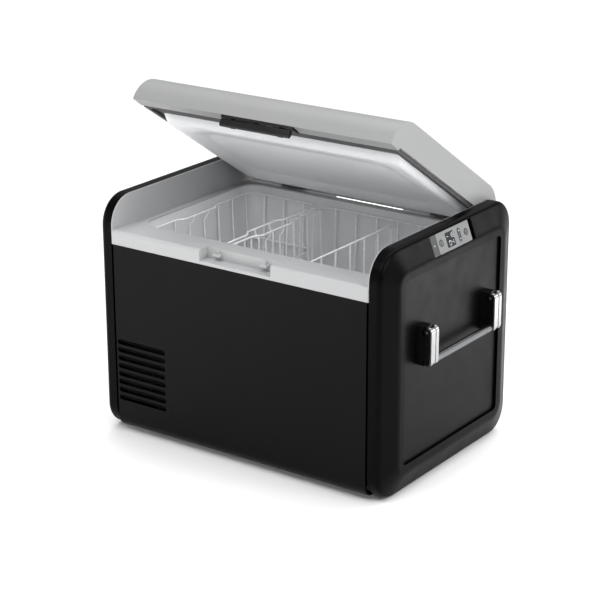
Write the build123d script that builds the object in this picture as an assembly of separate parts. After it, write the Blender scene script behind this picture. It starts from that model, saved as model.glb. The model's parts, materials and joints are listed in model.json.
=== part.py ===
from build123d import *
from math import hypot
import os

os.makedirs("parts", exist_ok=True)

# Portable compressor cooler fridge. Millimetres, X along the length, Y to the back, Z up.
# The origin is on the floor under the middle of the box.

# Driving dimensions
DEPTH = 455.0
CAP_TOP = 478.0
CAP_BOTTOM = 2.0
LEDGE_TOP = 416.0       # front edge of the ledge
SEAT_TOP = 415.0        # ledge under the lid's seal
BAND_OUT = 319.0        # outer edge of each end cap's flat band
BAND_IN = 296.0         # inner edge of that band
END_FACE = 335.0        # outermost plane of each end cap
PANEL_FACE = 330.0      # recessed panel in the end cap
HANDLE_OUT = 360.0      # outermost plane of each handle
LID_ANGLE = 33.0        # how far the lid stands open at rest, degrees
WALL = 3.0
GAP = 0.5

FRONT = -DEPTH / 2
REAR = DEPTH / 2

# End caps
BEVEL = 43.0
RING = 17.0
CAP_RADII = (50, 57, 55, 50)      # front bottom, front top, rear top, rear bottom
RING_RADIUS = 28.0
APERTURE_RADIUS = 10.0
BAND_SOFT, RING_SOFT = 10.0, 25.0    # radii along the band's edge and round the ring

# Front and rear panels
PANEL_HALF = 291.5
PANEL_TOP = 388.0
PANEL_BOTTOM = 8.0
PANEL_CURVE = 25.0
FLANGE_BACK = 6.0

# Louvres in both panels
LOUVRE_COUNT = 8
LOUVRE_PITCH = 16.6
LOUVRE_HEIGHT = 10.6
LOUVRE_LENGTH = 118.0
FRONT_LOUVRE_Z = 73.5
REAR_LOUVRE_Z = 96.0

# Opening of the storage space, at the ledge
OPEN_HALF = 277.0
OPEN_FRONT = FRONT + 65.0
OPEN_REAR = FRONT + 418.5
OPEN_RADIUS = 35.0
DEEP_LEFT = -88.0
DEEP_FLOOR = 62.0
SHELF_FLOOR = 262.0
LINER = 2.0
LINER_TOP = 412.0
DRAFT = 2.0

# Machine compartment under the shallow part of the storage space
BAY_LEFT, BAY_RIGHT = -293.0, -120.0
BAY_TOP = 226.0

# Top frame
WING_IN, WING_OUT = 293.5, BAND_IN
STEP_Y = REAR - 18.5
STEP_Z = LEDGE_TOP - 7.0
RECESS_HALF = 82.0
RECESS_BACK = FRONT + 26.0
RECESS_FLOOR = 394.0
GROOVE_X = (OPEN_HALF + 12.0, OPEN_HALF + 14.0)
LED_X = (-69.0, 89.0)
LED_Y = (STEP_Y - 4.0, STEP_Y - 0.8)
LED_Z = (SEAT_TOP - 2.0, SEAT_TOP + 0.8)

# Lid, drawn shut; rotated open when it is written
LID_HALF = 292.3
LID_RADIUS = 57.0
LID_TOP = 477.0
LID_BOTTOM = 417.5      # lower edge of the lid's front
LID_SIDE_BOTTOM = 422.5 # lower edge of its sides and back
LID_FRONT = FRONT + 0.5
LID_REAR = REAR - 18.0
LID_LIP_BACK = LID_FRONT + 29.0
HINGE_Y = REAR - 10.5
HINGE_Z = 418.5
HINGE_X = 180.0
HINGE_PIN = 2.5
KNUCKLE = 6.5
KNUCKLE_HALF = 14.6

# Tapered plug under the lid, with a shallow dish in its face
PLUG_HALF = OPEN_HALF - 1.0
PLUG_FRONT = OPEN_FRONT + 5.5
PLUG_REAR = OPEN_REAR - 8.0
PLUG_SLOPE = 12.0
PLUG_BOTTOM = 405.5
DISH_DEPTH = 6.5
DISH_RIM, DISH_FLAT = 16.0, 60.0    # insets of the dish's rim and of its flat middle

# Latch flap
LATCH_HALF = 78.0
LATCH_Y, LATCH_Z = FRONT + 5.0, 408.0
LATCH_ROUND = 3.6
LATCH_BACK = LATCH_Y + 6.5
LATCH_BOTTOM = 396.5
LATCH_PIN = 1.5
LATCH_PLATE = 4.9       # thickness of the plate that carries the flap
LUG_X = (-55.0, 0.0, 55.0)
LUG_HALF = 2.5
SPRING_X = 28.0
HOOK_X = 54.0
HOOK_Z = (397.2, 401.0)
CATCH_Z = (403.0, 407.0)
CATCH_REACH = 10.8

# Baskets
BASKET_TOP = 399.0
BASKET_WALL = 3.0
DIVIDER_X = 95.0

# Control panel, on the sloping top edge of the right cap
SLOPE_RUN = END_FACE - BAND_OUT
SLOPE_LENGTH = hypot(SLOPE_RUN, BEVEL)
POCKET = (146.0, 43.0)
POCKET_Y = 1.5
FASCIA = (112.4, 39.0)
FASCIA_X = 5.0          # middle of the fascia along the pocket
TAB = (18.4, 39.0)
TAB_X = -61.6
BUTTON_RADIUS = 6.5
BUTTON_X = (-38.5, 47.0)
DISPLAY = (27.5, 28.0)
DISPLAY_X = -7.5
ROCKER = (26.0, 9.0)
ROCKER_X = 24.5
TRUNNION = 1.0
LUG_IN, LUG_OUT = 5.0, 7.0
PANEL_SINK = 1.2        # the fascia lies this far below the slope
FASCIA_THICK = 2.4
HOUSING_DEPTH = 13.0
SLOPE_PLACE = 0.555     # the panel's middle, as a part of the way down the slope
SLOPE_NORMAL = (BEVEL / SLOPE_LENGTH, 0, SLOPE_RUN / SLOPE_LENGTH)
SLOPE_MIDDLE = (BAND_OUT + SLOPE_RUN * SLOPE_PLACE, POCKET_Y, CAP_TOP - BEVEL * SLOPE_PLACE)
SLOPE = Plane(origin=SLOPE_MIDDLE, x_dir=(0, 1, 0), z_dir=SLOPE_NORMAL)
FASCIA_TOP = -PANEL_SINK
FASCIA_LOW = FASCIA_TOP - FASCIA_THICK
TRUNNION_Z = FASCIA_LOW - 1.2

# Carrying handles, drawn for the right end
HANDLE_Y = 7.0
HANDLE_SPAN = 226.0     # from the middle of one arm to the middle of the other
ARM_WIDTH = 25.0
ARM_IN = 345.0
ARM_BOTTOM = 244.5
PIVOT_X, PIVOT_Z = 350.0, 310.0
PIVOT_ROUND = 10.0
ARM_CORNER = 9.0
PIVOT_PIN = 2.5
STRAP = 3.0
BAR_X, BAR_Z, BAR_RADIUS = 350.0, 252.3, 7.25

# Feet
FOOT_X, FOOT_Y, FOOT_RADIUS, FOOT_HEIGHT = 250.0, 160.0, 17.0, 5.0

# Cooling machinery in the bay
FAN_X, FAN_Z = -229.0, 126.0
FAN_Y = (FRONT + 58.0, FRONT + 83.0)
FAN_HALF, FAN_BORE = 46.0, 43.5
FAN_HUB, FAN_SHAFT = 17.0, 2.0
FAN_BLADES = 7
CONDENSER_Y = (FRONT + 20.0, FRONT + 54.0)
CONDENSER_HALF = 56.0
FIN_COUNT = 26
COMPRESSOR_X, COMPRESSOR_Y = -206.0, 92.0
CAN_RADIUS, CAN_TOP = 58.0, 122.0
MOUNT_X, MOUNT_Y = 52.0, 58.0
MOUNT_TOP = 26.0

# Power inlets in the rear panel: middle in X and Z, width and height of the socket
INLETS = {"mains_inlet": (-262.0, 60.0, 34.0, 24.0), "battery_inlet": (-206.0, 60.0, 28.0, 20.0)}
INLET_DEPTH = 20.0

CLEAR = 0.3             # gap between pieces that move past each other
RUNNING = 0.05          # radial clearance of a pin in its hole


def box(x0, x1, y0, y1, z0, z1):
    """A box between two corners."""
    centre = Pos((x0 + x1) / 2, (y0 + y1) / 2, (z0 + z1) / 2)
    return centre * Box(x1 - x0, y1 - y0, z1 - z0)


def rod_x(x0, x1, y, z, radius):
    """A cylinder along X."""
    return Pos((x0 + x1) / 2, y, z) * Rot(0, 90, 0) * Cylinder(radius, x1 - x0)


def rod_y(x, y0, y1, z, radius):
    """A cylinder along Y."""
    return Pos(x, (y0 + y1) / 2, z) * Rot(90, 0, 0) * Cylinder(radius, y1 - y0)


def rod_z(x, y, z0, z1, radius):
    """A cylinder along Z."""
    return Pos(x, y, (z0 + z1) / 2) * Cylinder(radius, z1 - z0)


def rounded(a0, a1, b0, b1, radii):
    """A rectangle with its own radius at each corner, from the low corner clockwise."""
    face = Pos((a0 + a1) / 2, (b0 + b1) / 2) * Rectangle(a1 - a0, b1 - b0)
    corners = ((a0, b0), (a0, b1), (a1, b1), (a1, b0))
    for corner, radius in zip(corners, radii):
        face = fillet(face.vertices().sort_by_distance((*corner, 0))[0], radius)
    return face


def slab_x(face, x0, x1):
    """Extrude a face drawn in Y and Z from x0 to x1."""
    return extrude(Plane.YZ.offset(x0) * face, x1 - x0)


def slab_y(face, y0, y1):
    """Extrude a face drawn in X and Z from y0 to y1."""
    return extrude(Plane(origin=(0, y0, 0), x_dir=(1, 0, 0), z_dir=(0, -1, 0)) * face, -(y1 - y0))


def both_sides(low, high):
    """An interval along X and its mirror image."""
    return ((low, high), (-high, -low))


def outline(points):
    """A face in Y and Z from straight lines and ("arc", radius, end) steps."""
    edges = []
    last = points[0]
    for step in points[1:]:
        if step[0] == "arc":
            edges.append(RadiusArc(last, step[2], step[1]))
            last = step[2]
        else:
            edges.append(Line(last, step))
            last = step
    edges.append(Line(last, points[0]))
    return make_face(edges)


def cap_outline(inset, radii):
    """The end cap's outline in Y and Z, moved inwards."""
    return rounded(FRONT + inset, REAR - inset, CAP_BOTTOM + inset, CAP_TOP - inset, radii)


def shrink(radii, inset):
    """Corner radii of an outline moved inwards."""
    return tuple(radius - inset for radius in radii)


def edges_at_x(solid, x):
    """The edges of a solid that lie in the plane at x."""
    return solid.edges().filter_by(
        lambda edge: all(abs(edge.position_at(t).X - x) < 0.01 for t in (0, 0.3, 0.7, 1))
    )


def end_cap():
    """Right end cap: flat band, sloping rim and flat ring, hollow inside."""
    ring = (RING_RADIUS,) * 4
    inner_ring = (RING_RADIUS - WALL,) * 4
    shell = slab_x(cap_outline(0, CAP_RADII), BAND_IN, BAND_OUT)
    shell += loft(
        [
            Plane.YZ.offset(BAND_OUT) * cap_outline(0, CAP_RADII),
            Plane.YZ.offset(END_FACE) * cap_outline(BEVEL, ring),
        ],
        ruled=True,
    )
    for x, radius in ((BAND_OUT, BAND_SOFT), (END_FACE, RING_SOFT)):
        shell = fillet(edges_at_x(shell, x), radius)
    hollow = slab_x(cap_outline(WALL, shrink(CAP_RADII, WALL)), BAND_IN - 1, BAND_OUT - 1)
    hollow_rim = loft(
        [
            Plane.YZ.offset(BAND_OUT - 1) * cap_outline(WALL, shrink(CAP_RADII, WALL)),
            Plane.YZ.offset(END_FACE - WALL) * cap_outline(BEVEL + WALL, inner_ring),
        ],
        ruled=True,
    )
    aperture = slab_x(
        cap_outline(BEVEL + RING, (APERTURE_RADIUS,) * 4), BAND_OUT, END_FACE + 1
    )
    return shell - hollow - hollow_rim - aperture


def end_panel():
    """Panel recessed in the end cap's ring, with a stiffening flange behind the ring."""
    inset = BEVEL + RING
    face = slab_x(cap_outline(inset + GAP, (APERTURE_RADIUS - GAP,) * 4), PANEL_FACE - 3, PANEL_FACE)
    flange_face = cap_outline(inset - 6, (APERTURE_RADIUS + 4,) * 4)
    flange = slab_x(flange_face, PANEL_FACE - 3, PANEL_FACE - 0.5)
    return face + flange


def body_panel(louvre_left, first_z):
    """Front panel with louvres, curved under at its bottom and stepped back at its sides."""
    bottom_y = FRONT + PANEL_CURVE
    curve_z = PANEL_BOTTOM + PANEL_CURVE
    lip_y = bottom_y + 12
    profile = outline(
        [
            (FRONT, PANEL_TOP - GAP),
            (FRONT, curve_z),
            ("arc", -PANEL_CURVE, (bottom_y, PANEL_BOTTOM)),
            (lip_y, PANEL_BOTTOM),
            (lip_y, PANEL_BOTTOM + WALL),
            (bottom_y, PANEL_BOTTOM + WALL),
            ("arc", PANEL_CURVE - WALL, (FRONT + WALL, curve_z)),
            (FRONT + WALL, PANEL_TOP - GAP),
        ]
    )
    panel = slab_x(profile, -PANEL_HALF, PANEL_HALF)
    flange_y = FRONT + FLANGE_BACK
    for edge in both_sides(PANEL_HALF - 2.5, PANEL_HALF):
        panel += box(*edge, FRONT + 1, flange_y + 2.5, curve_z, PANEL_TOP - GAP)
    for tuck in both_sides(PANEL_HALF - 2.5, BAND_IN + 8):
        panel += box(*tuck, flange_y, flange_y + 2.5, curve_z + 20, PANEL_TOP - 40)
    middle = louvre_left + LOUVRE_LENGTH / 2
    for row in range(LOUVRE_COUNT):
        z = first_z + row * LOUVRE_PITCH
        slot = Rot(90, 0, 0) * extrude(SlotOverall(LOUVRE_LENGTH, LOUVRE_HEIGHT), 6, both=True)
        panel -= Pos(middle, FRONT, z) * slot
        blade = Rot(-38, 0, 0) * Box(LOUVRE_LENGTH + 1.6, 8.4, 1.5)
        panel += Pos(middle, FRONT + 4.6, z - 0.6) * blade
    return panel


def storage_solid(grow):
    """The storage space, grown outwards: shallow over the machine, deep beside it."""
    front, rear = OPEN_FRONT - grow, OPEN_REAR + grow
    radii = (OPEN_RADIUS + grow,) * 4
    wide = rounded(-OPEN_HALF - grow, OPEN_HALF + grow, front, rear, radii)
    narrow = rounded(DEEP_LEFT - grow, OPEN_HALF + grow, front, rear, radii)
    top = Pos(0, 0, LINER_TOP)
    shallow = extrude(top * wide, -(LINER_TOP - SHELF_FLOOR + grow), taper=DRAFT)
    deep = extrude(top * narrow, -(LINER_TOP - DEEP_FLOOR + grow), taper=DRAFT)
    return shallow + deep


def inner_liner():
    """Moulded tub with a flange under the ledge."""
    half = OPEN_HALF + 11
    flange = box(-half, half, OPEN_FRONT - 25, OPEN_REAR + 11, LINER_TOP - LINER, LINER_TOP)
    return storage_solid(LINER) + flange - storage_solid(0)


def evaporator():
    """Refrigerant plate wrapped round the deep part of the tub."""
    grow = LINER + 1.5
    x0, x1 = DEEP_LEFT - grow, OPEN_HALF + grow
    outer = rounded(x0, x1, OPEN_FRONT - grow, OPEN_REAR + grow, (OPEN_RADIUS + grow,) * 4)
    block = extrude(Pos(0, 0, LINER_TOP) * outer, -(LINER_TOP - DEEP_FLOOR), taper=DRAFT)
    bands = box(x0, x1, FRONT, REAR, 90, 150) + box(x0, x1, FRONT, REAR, 165, 225)
    joint = box(40, 60, 0, REAR, 140, 175)
    return (block & (bands + joint)) - storage_solid(LINER)


def machine_bay():
    """The machine compartment as a solid."""
    return box(BAY_LEFT - 5, BAY_RIGHT, FRONT, REAR, 0, BAY_TOP)


def insulation(evaporator_plate):
    """Foam between the panels and the tub."""
    top = LINER_TOP - LINER - GAP
    foam = box(-293, 293, FRONT + 9.5, REAR - 9.5, PANEL_BOTTOM + WALL + GAP, top)
    foam = fillet(foam.edges().filter_by(Axis.X).sort_by(Axis.Z)[:2], PANEL_CURVE)
    foam -= storage_solid(LINER)
    foam -= evaporator_plate
    foam -= machine_bay()
    foam -= box(-RECESS_HALF - 3, RECESS_HALF + 3, FRONT, RECESS_BACK + 3, RECESS_FLOOR - 3, LEDGE_TOP)
    return foam - box(-300, 300, STEP_Y - WALL - GAP, REAR, STEP_Z - WALL - GAP, LEDGE_TOP)


def top_frame():
    """Light-grey moulding: front strip, ledge, rear step and the inner faces of both end caps."""
    back = FRONT + WALL
    lip = 6.0
    profile = outline(
        [
            (FRONT, PANEL_TOP),
            (FRONT, LEDGE_TOP - lip),
            ("arc", lip, (FRONT + lip, LEDGE_TOP)),
            (FRONT + 22, SEAT_TOP),
            (STEP_Y, SEAT_TOP),
            (STEP_Y, STEP_Z),
            (REAR, STEP_Z),
            (REAR, PANEL_TOP),
            (REAR - WALL, PANEL_TOP),
            (REAR - WALL, STEP_Z - WALL),
            (STEP_Y - WALL, STEP_Z - WALL),
            (STEP_Y - WALL, LINER_TOP),
            (FRONT + lip, LINER_TOP),
            ("arc", -WALL, (back, LEDGE_TOP - lip)),
            (back, PANEL_TOP),
        ]
    )
    frame = slab_x(profile, -WING_IN - 0.5, WING_IN + 0.5)
    wing = slab_x(cap_outline(1, shrink(CAP_RADII, 1)), WING_IN, WING_OUT)
    wing &= box(WING_IN - 1, WING_OUT + 1, FRONT, REAR, PANEL_TOP, CAP_TOP)
    frame += wing + mirror(wing, about=Plane.YZ)
    pocket_half = RECESS_HALF + 2.5
    pocket_back, pocket_floor = RECESS_BACK + 2.5, RECESS_FLOOR - 2.5
    frame += box(-pocket_half, pocket_half, back - 1, pocket_back, pocket_floor, LINER_TOP + 1)
    frame -= box(-RECESS_HALF, RECESS_HALF, FRONT - 1, RECESS_BACK, RECESS_FLOOR, LEDGE_TOP + 1)
    mouth = rounded(-OPEN_HALF, OPEN_HALF, OPEN_FRONT, OPEN_REAR, (OPEN_RADIUS,) * 4)
    frame -= Pos(0, 0, LINER_TOP - 1) * extrude(mouth, 10)
    for groove in both_sides(*GROOVE_X):
        frame -= box(*groove, OPEN_FRONT + 4, OPEN_REAR - 4, SEAT_TOP - 1.2, SEAT_TOP + 1)
    frame -= box(*LED_X, *LED_Y, LED_Z[0], LEDGE_TOP + 1)
    for x in (-HINGE_X, HINGE_X):
        frame -= rod_z(x - 21, REAR - 13, STEP_Z - 5, STEP_Z + 1, 1.6)
        frame -= rod_z(x + 21, REAR - 13, STEP_Z - 5, STEP_Z + 1, 1.6)
    return frame


def led_lens():
    """Strip lens of the inside light, in the rear of the ledge."""
    lens = box(*LED_X, *LED_Y, *LED_Z)
    top = lens.edges().filter_by(Axis.X).sort_by(Axis.Z)[-2:]
    return fillet(top, 0.8)


def latch_catches():
    """Two tabs in the recess that the latch hooks go under."""
    tabs = []
    for x in (-HOOK_X, HOOK_X):
        tab = box(x - 8, x + 8, RECESS_BACK - CATCH_REACH, RECESS_BACK, *CATCH_Z)
        rib = box(x - 2, x + 2, RECESS_BACK - CATCH_REACH / 2, RECESS_BACK, CATCH_Z[1], CATCH_Z[1] + 5)
        tabs.append(tab + rib)
    return Compound(children=tabs)


def lid_outline(inset, bottom):
    """The shut lid's outline in Y and Z, moved inwards."""
    radius = LID_RADIUS - inset
    front_c = LID_FRONT + LID_RADIUS
    rear_c = LID_REAR - LID_RADIUS
    centre_z = LID_TOP - LID_RADIUS
    return outline(
        [
            (LID_FRONT + inset, bottom),
            (LID_FRONT + inset, centre_z),
            ("arc", radius, (front_c, LID_TOP - inset)),
            (rear_c, LID_TOP - inset),
            ("arc", radius, (LID_REAR - inset, centre_z)),
            (LID_REAR - inset, bottom),
        ]
    )


def lid_shell():
    """Outer lid moulding with a sloping lip along its front."""
    shell = slab_x(lid_outline(0, LID_BOTTOM), -LID_HALF, LID_HALF)
    ends = shell.faces().sort_by(Axis.X)
    rims = ends[0].edges() + ends[-1].edges()
    shell = fillet(rims.filter_by(lambda edge: edge.center().Z > LID_BOTTOM + 0.5), 2.0)
    shell -= slab_x(lid_outline(WALL, LID_BOTTOM - 1), -LID_HALF + WALL, LID_HALF - WALL)
    shell -= box(-300, 300, LID_LIP_BACK + 2, LID_REAR + 1, LID_BOTTOM - 1, LID_SIDE_BOTTOM)
    lip = outline(
        [
            (LID_FRONT + 1, LID_BOTTOM),
            (LID_FRONT + 1, LID_SIDE_BOTTOM + 1),
            (LID_LIP_BACK, LID_SIDE_BOTTOM + 1),
            (LID_LIP_BACK, SEAT_TOP + 0.7),
        ]
    )
    shell += slab_x(lip, -LID_HALF + 1, LID_HALF - 1)
    seat = RECESS_HALF - 0.7
    return shell - box(-seat, seat, LID_FRONT - 1, LID_LIP_BACK + 1, SEAT_TOP, LID_BOTTOM)


def plug_outline(inset, radius):
    half = PLUG_HALF - inset
    return rounded(-half, half, PLUG_FRONT + inset, PLUG_REAR - inset, (radius,) * 4)


def plug_solid(shrunk, bottom, top):
    """The tapered block under the lid."""
    upper = plug_outline(shrunk, 17 - shrunk)
    lower = plug_outline(PLUG_SLOPE + shrunk, 13 - shrunk)
    return loft([Pos(0, 0, top) * upper, Pos(0, 0, bottom) * lower], ruled=True)


def lid_liner():
    """Inner lid moulding: a flange and a tapered plug with a dished face."""
    top = LID_SIDE_BOTTOM + 2.5
    half = LID_HALF - WALL - 0.4
    flange = box(-half, half, LID_LIP_BACK + 0.5, OPEN_REAR + 10, LID_SIDE_BOTTOM, top)
    liner = flange + plug_solid(0, PLUG_BOTTOM, LID_SIDE_BOTTOM + 0.5)
    liner -= plug_solid(2.5, PLUG_BOTTOM + DISH_DEPTH + 2.5, top + 0.1)
    rim = Pos(0, 0, PLUG_BOTTOM) * plug_outline(DISH_RIM, 50)
    flat = Pos(0, 0, PLUG_BOTTOM + DISH_DEPTH) * plug_outline(DISH_FLAT, 50)
    return liner - loft([rim, flat], ruled=True)


def lid_foam(hinge_leaves):
    """Foam that fills the lid."""
    bottom = LID_SIDE_BOTTOM + 2.8
    half = LID_HALF - WALL - 0.3
    foam = slab_x(lid_outline(WALL + 0.3, LID_BOTTOM), -half, half)
    foam -= box(-300, 300, FRONT, REAR, LID_BOTTOM - 5, bottom)
    foam += plug_solid(2.9, PLUG_BOTTOM + DISH_DEPTH + 2.9, bottom + 1)
    for leaf in hinge_leaves:
        foam -= leaf
    return foam


def lid_gasket():
    """Soft seal: a flat frame round the plug with a bulb along its outer edge."""
    front, rear = LID_LIP_BACK + 0.5, OPEN_REAR + 9.5
    half = OPEN_HALF + 11.0
    outer = rounded(-half, half, front, rear, (6,) * 4)
    inner = rounded(-half + 9.5, half - 9.5, front + 9.5, rear - 8, (8,) * 4)
    bulb_bottom = SEAT_TOP + CLEAR
    bulb = extrude(Pos(0, 0, bulb_bottom) * (outer - inner), LID_SIDE_BOTTOM - bulb_bottom)
    sheet = extrude(Pos(0, 0, LID_SIDE_BOTTOM - 2) * outer, 2)
    return sheet - plug_solid(-0.3, PLUG_BOTTOM, LID_SIDE_BOTTOM + 0.5) + bulb


def hinge_bracket(x):
    """Fixed half of a hinge: foot plate on the rear step and two knuckles."""
    plate = box(x - 30, x + 30, STEP_Y + GAP, REAR - 3.5, STEP_Z, STEP_Z + 2.2)
    for side in (-1, 1):
        ends = sorted((x + side * (KNUCKLE_HALF + CLEAR), x + side * 30))
        plate += box(*ends, HINGE_Y - 4.5, HINGE_Y + 4.5, STEP_Z + 1, HINGE_Z)
        plate += rod_x(*ends, HINGE_Y, HINGE_Z, KNUCKLE)
        plate -= rod_z(x + side * 21, REAR - 13, STEP_Z - 1, STEP_Z + 1.4, 1.6)
    return plate - rod_x(x - 31, x + 31, HINGE_Y, HINGE_Z, HINGE_PIN + RUNNING)


def hinge_leaf(x):
    """Moving half of a hinge: one knuckle and an angle inside the lid's rear wall."""
    leaf = rod_x(x - KNUCKLE_HALF, x + KNUCKLE_HALF, HINGE_Y, HINGE_Z, KNUCKLE)
    wall_y = LID_REAR - WALL
    leaf += box(x - 14, x + 14, wall_y - 5, HINGE_Y, HINGE_Z + 0.6, HINGE_Z + 3.8)
    upright = box(x - 14, x + 14, wall_y - 5, wall_y, HINGE_Z + 0.6, HINGE_Z + 16)
    leaf += upright & slab_x(lid_outline(WALL, LID_BOTTOM), x - 15, x + 15)
    return leaf - rod_x(x - 15, x + 15, HINGE_Y, HINGE_Z, HINGE_PIN)


def hinge_pin(x):
    """Hinge pin with a head at each end."""
    pin = rod_x(x - 31.5, x + 31.5, HINGE_Y, HINGE_Z, HINGE_PIN)
    for side in (-1, 1):
        ends = sorted((x + side * 30.4, x + side * 32.4))
        pin += rod_x(*ends, HINGE_Y, HINGE_Z, HINGE_PIN + 1.5)
    return pin


def latch_bracket():
    """Plate under the lid's front lip, with three lugs that hold the latch pin."""
    half = RECESS_HALF - 1
    bottom = LID_BOTTOM - LATCH_PLATE
    face = rounded(-half, half, LID_FRONT, RECESS_BACK - 2, (4, 1, 1, 4))
    bar = extrude(Pos(0, 0, bottom) * face, LATCH_PLATE)
    for x in LUG_X:
        bar += box(x - LUG_HALF, x + LUG_HALF, LATCH_Y, LATCH_BACK, LATCH_Z, bottom + 1)
        bar += rod_x(x - LUG_HALF, x + LUG_HALF, LATCH_Y, LATCH_Z, 2.6)
    return bar - rod_x(-half, half, LATCH_Y, LATCH_Z, LATCH_PIN)


def latch_flap():
    """Finger flap with two hooks; its top is round about the pin."""
    face_y = LATCH_Y - LATCH_ROUND
    profile = outline(
        [
            (face_y, LATCH_BOTTOM + 2),
            (face_y, LATCH_Z),
            ("arc", LATCH_ROUND, (LATCH_Y, LATCH_Z + LATCH_ROUND)),
            (LATCH_BACK - 1, LATCH_Z + LATCH_ROUND - 1),
            (LATCH_BACK, LATCH_Z + 1),
            (LATCH_BACK, LATCH_BOTTOM + 6),
            (LATCH_BACK - 3, LATCH_BOTTOM),
            (face_y + 2, LATCH_BOTTOM),
        ]
    )
    flap = slab_x(profile, -LATCH_HALF, LATCH_HALF)
    room_y = (LATCH_Y - 2.8, LATCH_BACK + 1)
    room_z = (LATCH_Z - 3.4, LATCH_Z + 10)
    for x in LUG_X:
        flap -= box(x - LUG_HALF - 0.6, x + LUG_HALF + 0.6, *room_y, *room_z)
    flap -= box(SPRING_X - 5, SPRING_X + 5, *room_y, *room_z)
    for x in (-HOOK_X, HOOK_X):
        flap += box(x - 5, x + 5, LATCH_Y, RECESS_BACK - CATCH_REACH - CLEAR, *HOOK_Z)
    return flap - rod_x(-80, 80, LATCH_Y, LATCH_Z, LATCH_PIN + RUNNING)


def latch_spring():
    """Torsion spring round the latch pin."""
    wire, radius, pitch, turns = 0.4, 2.1, 1.1, 6
    path = Helix(pitch, pitch * turns, radius)
    start = Plane(path @ 0, z_dir=path % 0)
    coil = sweep(start * Circle(wire), path=path)
    return Pos(SPRING_X - pitch * turns / 2, LATCH_Y, LATCH_Z) * Rot(0, 90, 0) * coil


def latch_pin():
    """Steel pin that the flap turns on."""
    return rod_x(-76, 76, LATCH_Y, LATCH_Z, LATCH_PIN)


def tray(left, right, bottom, foot):
    """Open basket whose sides lean in by foot towards its floor; the wires lie in this skin."""
    front, rear = OPEN_FRONT + 5.5, OPEN_REAR - 5.5

    def block(inset, low):
        upper = rounded(left + inset, right - inset, front + inset, rear - inset, (26 - inset,) * 4)
        lean = inset + foot
        lower = rounded(left + lean, right - lean, front + lean, rear - lean, (26 - inset,) * 4)
        return loft([Pos(0, 0, BASKET_TOP) * upper, Pos(0, 0, low) * lower], ruled=True)

    cavity = block(BASKET_WALL, bottom + BASKET_WALL)
    mouth = extrude(cavity.faces().sort_by(Axis.Z)[-1], 1)
    return block(0, bottom) - cavity - mouth


def left_basket():
    """Shallow basket over the machine compartment."""
    return tray(-OPEN_HALF + 4.5, -96.0, SHELF_FLOOR + CLEAR, 5.5)


def right_basket():
    """Deep basket beside it."""
    return tray(DEEP_LEFT + 3.0, OPEN_HALF - 5.5, DEEP_FLOOR + CLEAR, 12.0)


def basket_divider():
    """Upright panel across the deep basket."""
    lean = 11.0
    top_front, top_rear = OPEN_FRONT + 16.0, OPEN_REAR - 32.0
    low = DEEP_FLOOR + 4.0
    panel = outline(
        [
            (top_front, BASKET_TOP - 1),
            (top_rear - 12, BASKET_TOP - 1),
            ("arc", 12, (top_rear, BASKET_TOP - 13)),
            (top_rear, low),
            (top_front + lean, low),
        ]
    )
    return slab_x(panel, DIVIDER_X - 1.5, DIVIDER_X + 1.5)


def plate(middle_x, size, radius, low, high):
    """A rounded plate of the control panel, which is drawn flat and then set on the slope."""
    face = Pos(middle_x, 0, low) * RectangleRounded(*size, radius)
    return extrude(face, high - low)


def on_slope(shape):
    """Set a flat piece of the control panel on the sloping edge."""
    return SLOPE.location * shape


def control_pocket():
    """The hole that the control panel's housing goes through."""
    return on_slope(plate(0, POCKET, 3, -HOUSING_DEPTH - 2, 6))


def control_housing():
    """Black tray behind the fascia."""
    size = (POCKET[0] - 0.6, POCKET[1] - 0.6)
    shell = plate(0, size, 2.7, -HOUSING_DEPTH, -0.4)
    cavity = plate(0, (size[0] - 3.2, size[1] - 3.2), 2, -HOUSING_DEPTH + 1.6, 1)
    for x in (-50, 0, 50):
        for y in (-17, 17):
            post_middle = (FASCIA_LOW - HOUSING_DEPTH) / 2
            cavity -= Pos(x, y, post_middle) * Cylinder(1.6, FASCIA_LOW + HOUSING_DEPTH)
    return on_slope(shell - cavity)


def control_fascia():
    """Silver plate with holes for its keys and display, and two lugs that hold the rocker."""
    face = plate(FASCIA_X, (FASCIA[0], FASCIA[1]), 1.2, FASCIA_LOW, FASCIA_TOP)
    for x in BUTTON_X:
        face -= Pos(x, 0, FASCIA_LOW) * Cylinder(BUTTON_RADIUS + CLEAR, 10)
    face -= plate(DISPLAY_X, DISPLAY, 0.8, FASCIA_LOW - 1, 1)
    slot = Rot(0, 0, 90) * SlotOverall(ROCKER[0] + 0.9, ROCKER[1] + 2 * CLEAR)
    face -= extrude(Pos(ROCKER_X, 0, FASCIA_LOW - 1) * slot, 6)
    for low, high in ((-LUG_OUT, -LUG_IN), (LUG_IN, LUG_OUT)):
        face += box(ROCKER_X + low, ROCKER_X + high, -2.5, 2.5, FASCIA_LOW - 2.6, FASCIA_LOW)
    return on_slope(face - rod_x(ROCKER_X - 10, ROCKER_X + 10, 0, TRUNNION_Z, TRUNNION + RUNNING))


def indicator_tab():
    """Darker end piece beside the fascia, with a hole for the status light."""
    tab = plate(TAB_X, TAB, 2.2, FASCIA_LOW, FASCIA_TOP)
    return on_slope(tab - Pos(TAB_X, 0, FASCIA_LOW) * Cylinder(1.3, 10))


def status_light():
    """Small lamp in the end piece."""
    return on_slope(Pos(TAB_X, 0, FASCIA_TOP - 1) * Cylinder(1.3, 2.2))


def display_window():
    """Dark window over the temperature display."""
    return on_slope(plate(DISPLAY_X, (DISPLAY[0], DISPLAY[1]), 0.8, FASCIA_LOW, FASCIA_TOP - 0.2))


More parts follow.
